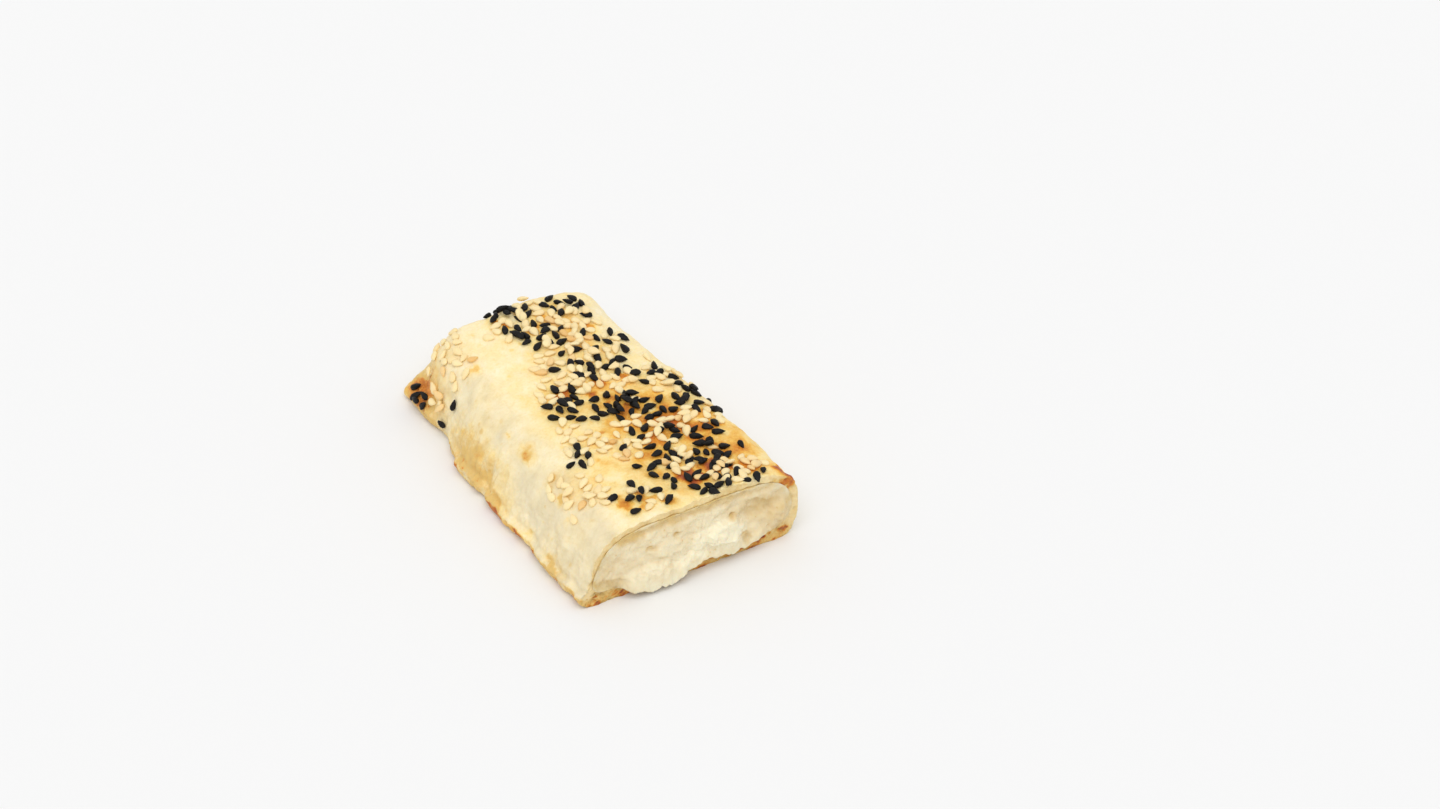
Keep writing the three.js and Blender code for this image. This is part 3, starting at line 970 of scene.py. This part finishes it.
@dataclass
class Cheese:
    """The filling: a smooth body inside the crust and a torn, sagging face at the cut."""

    form: PastryForm
    finish: CheeseFinish = field(default_factory=CheeseFinish)
    around: int = 320
    face_rings: int = 90
    gap: float = 0.09
    smear: float = 0.36

    def build(self) -> bpy.types.Object:
        """Models and dresses the cheese, and puts it in the plain solid's place."""
        form = self.form
        turns = form.room_outline.even_turns(self.around, 1.0)
        backs = np.array([7.4, 8.4, 10, 12.5, 18, 34, 56, 76, 88, 93, 95.5, 96.8, 97.5, 98])
        body = form.room_rings(turns, backs, self.gap)
        face, damp = self._face(body[-1])
        rows = np.concatenate([body, face])
        damps = np.concatenate([np.full(body.shape[:2], 0.5), damp])
        ends = np.stack([rows[0].mean(0), rows[-1].mean(0)])
        total = rows.shape[0] * self.around
        draft = Draft()
        draft.add(
            np.concatenate([rows.reshape(-1, 3), ends]),
            tube_faces(len(rows), self.around),
            damp=np.append(damps.ravel(), [0.5, damps[-1].mean()]),
        )
        draft.faces.extend(cap_faces(0, self.around, total, True).tolist())
        last = cap_faces(total - self.around, self.around, total + 1, False)
        draft.faces.extend(last.tolist())
        piece = draft.make("soft_cheese", self.finish.material())
        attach(piece, "root")
        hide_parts(CHEESE_NODE)
        return piece

    def _face(self, lip: np.ndarray) -> tuple[np.ndarray, np.ndarray]:
        """Rings of the face, from the crust to its middle.

        Args:
            lip: the body's last ring, in the plane of the cut.

        Returns:
            The rings, and a number for each of their points: moisture, with painted shade in the
            hollows and along the crust.
        """
        form = self.form
        corner = form.spot(0, 0, 0)
        scale = 1.014 - np.linspace(0, 1, self.face_rings) ** 1.2 * 0.999
        middle = np.array([lip[:, 0].mean(), lip[0, 1], (lip[:, 2].max() + lip[:, 2].min()) / 2])
        rings = middle + (lip[None] - middle) * scale[:, None, None]
        warp = [
            1.2 * Grain(4.5, 3, 4.0 * k).at(rings) + 0.55 * Grain(1.5, 2, 6.0 * k).at(rings)
            for k in (1, 2)
        ]
        x = rings[..., 0] - corner[0] + warp[0]
        z = rings[..., 2] + 0.7 * warp[1]
        inward = smoothstep(1 - scale, -0.02, 0.1)[:, None]
        out = 0.35 + sum(hump.at(x, z) for hump in FACE)
        curds = 0.55 * np.abs(Grain(5.5, 3, 31.0).at(rings)) + 0.42 * Grain(2.4, 3, 12.0).at(rings)
        fine = 0.12 * Grain(0.9, 2, 15.0).at(rings)
        out = self.smear + inward * (out + curds - 0.15) + fine
        hang = np.exp(-(((1 - scale - 0.06) / 0.1) ** 2)) * smoothstep(1 - scale, 0.0, 0.05)
        edge = 1 + 0.5 * Grain((2.6, 50, 50), 3, 2.0).at(rings)
        low = smoothstep(middle[2] - rings[..., 2], 1.0, 6.0)
        droop = hang[:, None] * low * edge * sum(hump.at(x, z) for hump in DROOPS)
        rings[..., 1] -= out
        rings[..., 2] = np.maximum(rings[..., 2] - droop, 0.35)
        # Painted shade: a darker yellow band where the cheese meets the crust, partly gold smears
        # and partly the shadow of the crevice under the rim.
        crust_side = np.exp(-(1 - scale) / 0.03)[:, None]
        golden = np.clip(0.3 + 1.5 * Grain(3, 3, 27.0).at(rings), 0, 1)
        damp = sum(hump.at(x, z) for hump in DAMP_AND_SHADE) + 0.6 * golden * crust_side
        return rings, np.clip(damp, -0.5, 1)


# ---------- the seeds ----------
@dataclass(frozen=True)
class Kernel:
    """A tear-shaped seed, blunt at one end and pointed at the other."""

    length: float
    width: float
    height: float
    corners: float
    wrinkle: float
    stations: int = 13
    sides: int = 14

    def shape(self, number: int) -> tuple[np.ndarray, np.ndarray]:
        """The seed's points, lying along X, and how far along it each one is.

        Args:
            number: which seed this is, so that no two are quite alike.

        Returns:
            Rings of points, and their shares of the length from blunt end to tip.
        """
        share = 0.5 - 0.5 * np.cos(np.linspace(0.06, 0.97, self.stations) * math.pi)
        girth = np.sin(math.pi * share**0.8) ** 0.62 * (1 - 0.32 * share)
        girth /= girth.max()
        turn = np.linspace(0, 2 * math.pi, self.sides, endpoint=False)
        edge = 1 + self.corners * np.cos(3 * turn + number)
        y = self.width / 2 * girth[:, None] * edge * np.cos(turn)
        z = self.height / 2 * girth[:, None] * edge * np.sin(turn)
        x = np.broadcast_to(self.length * (share - 0.5)[:, None], y.shape)
        points = np.stack([x, y, z], -1)
        points = points * (1 + self.wrinkle * Grain(0.5, 2, 3.0 * number).at(points)[..., None])
        bend = 0.12 * math.sin(number * 2.4) * (share - 0.5) ** 2 * self.length
        points[..., 1] += bend[:, None]
        return points, np.broadcast_to(share[:, None], y.shape)

    def faces(self) -> np.ndarray:
        """Quads of the seed's side."""
        return tube_faces(self.stations, self.sides)


@dataclass(frozen=True)
class Drift:
    """A clump of seeds, measured from the pinched side and the cut."""

    x: float
    y: float
    spread: float
    count: int


@dataclass(frozen=True)
class Fall:
    """Seeds that fell in clumps along a belt."""

    belt: Belt
    spread: tuple[float, float]
    seeds: tuple[int, int]

    def drifts(self, form: PastryForm, rng: np.random.Generator) -> list[Drift]:
        """The clumps, each with a breadth and a number of seeds of its own."""
        return [
            Drift(x, y, rng.uniform(*self.spread), int(rng.integers(*self.seeds, endpoint=True)))
            for x, y, _ in self.belt.places(form, rng)
        ]


NIGELLA_FALLS = (
    Fall(Belt((0.35, 0.93, 1), (0.75, 0.87, 1), 5, 1.5), (2, 3), (3, 5)),
    Fall(Belt((0.4, 0.83, 1), (0.75, 0.64, 1), 6, 3), (3.5, 5), (4, 6)),
    Fall(Belt((0.45, 0.6, 1), (0.9, 0.5, 1), 5, 2), (3, 4.5), (4, 6)),
    Fall(Belt((0.42, 0.48, 1), (0.64, 0.4, 1), 4, 2), (3.5, 4.5), (7, 9)),
    Fall(Belt((0.65, 0.4, 1), (0.92, 0.38, 1), 3, 2), (3, 4.5), (4, 6)),
    Fall(Belt((0.5, 0.3, 1), (0.9, 0.24, 1), 4, 2.5), (4, 5), (5, 7)),
    Fall(Belt((0.5, 0.2, 1), (0.9, 0.12, 1), 4, 2), (3.5, 5), (4, 6)),
    Fall(Belt((0.28, 0.1, 1), (0.85, 0.06, 1), 7, 2), (3, 4), (3, 6)),
    Fall(Belt((0.18, 0.2, 1), (0.32, 0.52, 1), 3, 2), (3, 4), (2, 3)),
    Fall(Belt((0.08, 0.75, 1), (0.06, 0.97, 1), 3, 0.5), (1.2, 2), (2, 4)),
)
SESAME_FALLS = (
    Fall(Belt((0.12, 0.76, 1), (0.22, 0.93, 1), 4, 1.5), (3, 4), (8, 11)),
    Fall(Belt((0.35, 0.88, 1), (0.72, 0.8, 1), 4, 2.5), (4.5, 6), (12, 15)),
    Fall(Belt((0.3, 0.72, 1), (0.8, 0.68, 1), 5, 3), (4.5, 6), (10, 13)),
    Fall(Belt((0.3, 0.58, 1), (0.92, 0.48, 1), 6, 3), (4, 5.5), (8, 12)),
    Fall(Belt((0.3, 0.42, 1), (0.45, 0.22, 1), 3, 2.5), (4, 5), (6, 9)),
    Fall(Belt((0.55, 0.32, 1), (0.92, 0.3, 1), 4, 3), (4, 5), (7, 10)),
    Fall(Belt((0.6, 0.16, 1), (0.88, 0.05, 1), 4, 2), (3.5, 4.5), (8, 12)),
    Fall(Belt((0.1, 0.3, 1), (0.35, 0.06, 1), 5, 2), (3, 4.5), (5, 8)),
)


@dataclass(frozen=True)
class SeedFinish:
    """A seed coat with two tones, grained and slightly glossy."""

    name: str
    plain: Tone
    toasted: Tone
    roughness: tuple[float, float]
    depth: float
    glow: float
    shine: float

    def material(self) -> bpy.types.Material:
        """The coat's material, which reads each seed's tint and how far along it a point is."""
        graph = Graph(self.name)
        grain = graph.grain(0.3, 3.0, 0.6)
        along = graph.painted("along")
        tip = along.spread(0.8, 1.0, 0.0, 0.4)
        share = graph.painted("tint") + tip * 0.6 + (grain - 0.5) * 0.3
        return graph.finish(
            Base_Color=share.mixed(self.plain, self.toasted),
            Roughness=grain.spread(0.3, 0.7, *self.roughness),
            Normal=graph.bump(grain, self.depth, 0.7),
            Subsurface_Weight=self.glow,
            Subsurface_Radius=(1.0, 0.8, 0.5),
            Subsurface_Scale=0.001,
            Specular_IOR_Level=self.shine,
        )


@dataclass
class Ground:
    """The crust's surface, on which seeds lie."""

    crust: bpy.types.Object
    above: float = 60.0
    least_rise: float = 0.15
    least_height: float = 2.0
    faces: list[tuple[int, ...]] = field(init=False)
    tree: BVHTree = field(init=False)
    toast: bpy.types.bpy_prop_collection = field(init=False)

    def __post_init__(self) -> None:
        """Prepares the surface for looking things up on it."""
        mesh = self.crust.data
        corners = [v.co.copy() for v in mesh.vertices]
        self.faces = [tuple(p.vertices) for p in mesh.polygons]
        self.tree = BVHTree.FromPolygons(corners, self.faces)
        self.toast = mesh.attributes["toast"].data

    def under(self, place: np.ndarray) -> tuple[np.ndarray, np.ndarray, float] | None:
        """What lies straight below a place.

        Args:
            place: in millimetres; only its x and y count.

        Returns:
            The spot in millimetres, the way up from it and how far it has browned, or None
            where there is no crust, or none flat enough for a seed.
        """
        start = Vector((*place[:2], self.above)) * MM
        hit, normal, face, _ = self.tree.ray_cast(start, Vector((0, 0, -1)))
        if hit is None or normal.z < self.least_rise or hit.z < self.least_height * MM:
            return None
        return np.array(hit) / MM, np.array(normal), self.toast[self.faces[face][0]].value


@dataclass
class Sprinkle:
    """All the seeds of one kind, lying on the crust."""

    name: str
    stem: str
    slot: str
    kernel: Kernel
    finish: SeedFinish
    falls: tuple[Fall, ...]
    roasted_share: float
    least_gap: float
    seed: int
    tries: int = 40
    overreach: float = 1.25
    crowded_share: float = 0.08
    crowded_gap: float = 0.55
    lift: float = 0.75
    lift_within: float = 0.85
    ground: Ground = field(init=False)
    rng: np.random.Generator = field(init=False)
    draft: Draft = field(init=False)
    number: int = field(init=False)

    def build(self, form: PastryForm, ground: Ground, taken: list[np.ndarray]) -> bpy.types.Object:
        """Scatters, models and dresses the seeds.

        Args:
            form: the pastry's sizes.
            ground: what they lie on.
            taken: places that already hold a seed, in millimetres, to which these are added.

        Returns:
            One object of many seeds, in the place of the frame's seeds of this kind.
        """
        self.ground = ground
        self.rng = np.random.default_rng(self.seed)
        self.draft = Draft()
        self.number = 0
        own: list[np.ndarray] = []
        nodes = sorted(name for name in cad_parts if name.startswith(self.stem))
        for name in nodes:
            own.append(self._carry_over(name))
        taken.extend(own)
        for fall in self.falls:
            for drift in fall.drifts(form, self.rng):
                self._fill(drift, form, taken, own)
        piece = self.draft.make(self.name, self.finish.material())
        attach(piece, "root")
        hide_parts(*nodes)
        LOG.info("%s: %d seeds", self.name, self.number)
        return piece

    def _carry_over(self, name: str) -> np.ndarray:
        """Models the seed that stands for one of the frame's solids, and returns its place."""
        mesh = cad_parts[name].data
        points = np.array([tuple(v.co) for v in mesh.vertices]) / MM
        middle = (points.max(0) + points.min(0)) / 2
        heading = np.linalg.svd(points - points.mean(0), full_matrices=False)[2][0]
        self._lay(middle, heading, 0.0)
        return middle

    def _fill(
        self, drift: Drift, form: PastryForm, taken: list[np.ndarray], own: list[np.ndarray]
    ) -> None:
        """Adds seeds to a drift until it holds its number."""
        middle = form.spot(drift.x, drift.y, 0)
        held = sum(math.dist(p[:2], middle[:2]) < drift.spread for p in own)
        for _ in range(self.tries * drift.count):
            if held >= drift.count:
                return
            turn = self.rng.uniform(0, 2 * math.pi)
            reach = self.overreach * drift.spread * math.sqrt(self.rng.uniform())
            place = middle + reach * np.array([math.cos(turn), math.sin(turn), 0])
            near = min((math.dist(p[:2], place[:2]) for p in taken), default=math.inf)
            crowded = self.rng.uniform() < self.crowded_share
            if near < self.least_gap * (self.crowded_gap if crowded else 1.0):
                continue
            spin = self.rng.uniform(0, 2 * math.pi)
            heading = np.array([math.cos(spin), math.sin(spin), 0])
            raised = self.lift if near < self.lift_within * self.least_gap else 0.0
            if self._lay(place, heading, raised):
                held += 1
                taken.append(place)
                own.append(place)

    def _lay(self, place: np.ndarray, heading: np.ndarray, raised: float) -> bool:
        """Lays one seed on the crust.

        Args:
            place: where, in millimetres; only its x and y count.
            heading: the way its tip points.
            raised: how much of its own height it is lifted, because others are close by.

        Returns:
            Whether there was crust to lie on.
        """
        found = self.ground.under(place)
        if found is None:
            return False
        spot, normal, toast = found
        up = normal + self.rng.normal(0, 0.1 + 0.25 * raised, 3)
        up /= np.linalg.norm(up)
        along = heading - up * heading.dot(up)
        along /= np.linalg.norm(along)
        axes = np.stack([along, np.cross(up, along), up])
        size = self.rng.uniform(0.84, 1.08)
        points, share = self.kernel.shape(self.number)
        lift = self.kernel.height * size * (0.4 + raised)
        points = (points.reshape(-1, 3) * size) @ axes + spot + up * lift
        sides = self.kernel.sides
        ends = np.stack([points[:sides].mean(0), points[-sides:].mean(0)])
        roast = self.rng.uniform(0.3, 0.8) * (self.rng.uniform() < self.roasted_share)
        scorched = self.rng.uniform(0.1, 0.6) * float(smoothstep(toast, 0.5, 0.8))
        shade = self.rng.uniform(0.0, 0.2) + max(roast, scorched)
        base, total = self.draft.count, len(points)
        along_seed = np.append(share.ravel(), [0, 1])
        rows = np.concatenate([points, ends])
        self.draft.add(rows, self.kernel.faces(), tint=shade, along=along_seed)
        first = cap_faces(0, sides, total, True)
        last = cap_faces(total - sides, sides, total + 1, False)
        self.draft.faces.extend((np.concatenate([first, last]) + base).tolist())
        self.number += 1
        return True


# ---------- the studio ----------
@dataclass
class Studio:
    """A white table, soft daylight from above and a long lens."""

    form: PastryForm
    azimuth: float = -30.2
    elevation: float = 38.5
    lens: float = 250.0
    sensor: float = 36.0
    picture_width: float = 354.7
    aim: tuple[float, float] = (34.4, 50.9)
    table: float = 8.0
    sky: float = 0.78
    sun: float = 1.09
    sun_spread: float = 50.0
    sun_from: tuple[float, float, float] = (-0.25, -0.35, 0.9)

    def build(self) -> None:
        """Adds the table, the lights and the camera."""
        self._floor()
        self._lights()
        self._camera()
        view = bpy.context.scene.view_settings
        view.view_transform = "Standard"
        view.look = "None"

    def _floor(self) -> None:
        """A plain pale table top."""
        graph = Graph("table_top")
        grain = graph.grain(60.0, 2.0)
        rough = grain.spread(0, 1, 0.85, 0.95)
        material = graph.finish(Base_Color=Tone.TABLE, Roughness=rough, Specular_IOR_Level=0.2)
        side = self.table / 2
        mesh = bpy.data.meshes.new("table")
        corners = [(-side, -side, 0), (side, -side, 0), (side, side, 0), (-side, side, 0)]
        mesh.from_pydata(corners, [], [(0, 1, 2, 3)])
        mesh.materials.append(material)
        table = bpy.data.objects.new("table", mesh)
        bpy.context.scene.collection.objects.link(table)

    def _lights(self) -> None:
        """An even white sky and soft daylight from above."""
        world = bpy.data.worlds.new("sky")
        world.use_nodes = True
        background = world.node_tree.nodes["Background"]
        background.inputs["Color"].default_value = (1.0, 1.0, 1.0, 1.0)
        background.inputs["Strength"].default_value = self.sky
        bpy.context.scene.world = world
        lamp = bpy.data.lights.new("daylight", "SUN")
        lamp.energy = self.sun
        lamp.angle = math.radians(self.sun_spread)
        holder = bpy.data.objects.new("daylight", lamp)
        holder.rotation_euler = Vector(self.sun_from).to_track_quat("Z", "Y").to_euler()
        bpy.context.scene.collection.objects.link(holder)

    def _camera(self) -> None:
        """A long lens that looks down on the cut and the pinched side."""
        turn, tilt = math.radians(self.azimuth), math.radians(self.elevation)
        flat = math.cos(tilt)
        back = Vector((math.sin(turn) * flat, -math.cos(turn) * flat, math.sin(tilt)))
        right = Vector((math.cos(turn), math.sin(turn), 0))
        up = back.cross(right)
        corner = Vector(self.form.spot(0, 0, 0)) * MM
        middle = corner + (right * self.aim[0] + up * self.aim[1]) * MM
        data = bpy.data.cameras.new("camera")
        data.lens = self.lens
        data.sensor_width = self.sensor
        data.clip_end = 50
        camera = bpy.data.objects.new("camera", data)
        distance = self.lens / self.sensor * self.picture_width * MM
        camera.location = middle + back * distance
        camera.rotation_euler = back.to_track_quat("Z", "Y").to_euler()
        bpy.context.scene.collection.objects.link(camera)
        bpy.context.scene.camera = camera


def main() -> None:
    """Builds every piece in order."""
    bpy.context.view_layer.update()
    form = PastryForm()
    LOG.info("studio")
    Studio(form).build()
    LOG.info("crust")
    crust = Crust(form).build()
    LOG.info("cheese")
    Cheese(form).build()
    ground = Ground(crust)
    taken: list[np.ndarray] = []
    nigella = Sprinkle(
        name="nigella_seeds",
        stem="nigella_seed",
        slot="nigella",
        kernel=Kernel(3.4, 1.75, 1.4, corners=0.15, wrinkle=0.1, sides=15),
        finish=SeedFinish(
            "nigella_coat", Tone.NIGELLA, Tone.NIGELLA_RIDGE, (0.4, 0.6), 0.12, 0.0, 0.2
        ),
        falls=NIGELLA_FALLS,
        roasted_share=0.0,
        least_gap=2.4,
        seed=3,
    )
    nigella.build(form, ground, taken)
    sesame = Sprinkle(
        name="sesame_seeds",
        stem="sesame_seed",
        slot="sesame",
        kernel=Kernel(3.35, 2.1, 1.2, corners=0.0, wrinkle=0.03),
        finish=SeedFinish("sesame_coat", Tone.SESAME, Tone.ROASTED, (0.4, 0.6), 0.05, 0.15, 0.5),
        falls=SESAME_FALLS,
        roasted_share=0.07,
        least_gap=2.0,
        seed=8,
    )
    sesame.build(form, ground, taken)


if __name__ == "__main__":
    logging.basicConfig(level=logging.INFO, format="%(message)s")
    main()
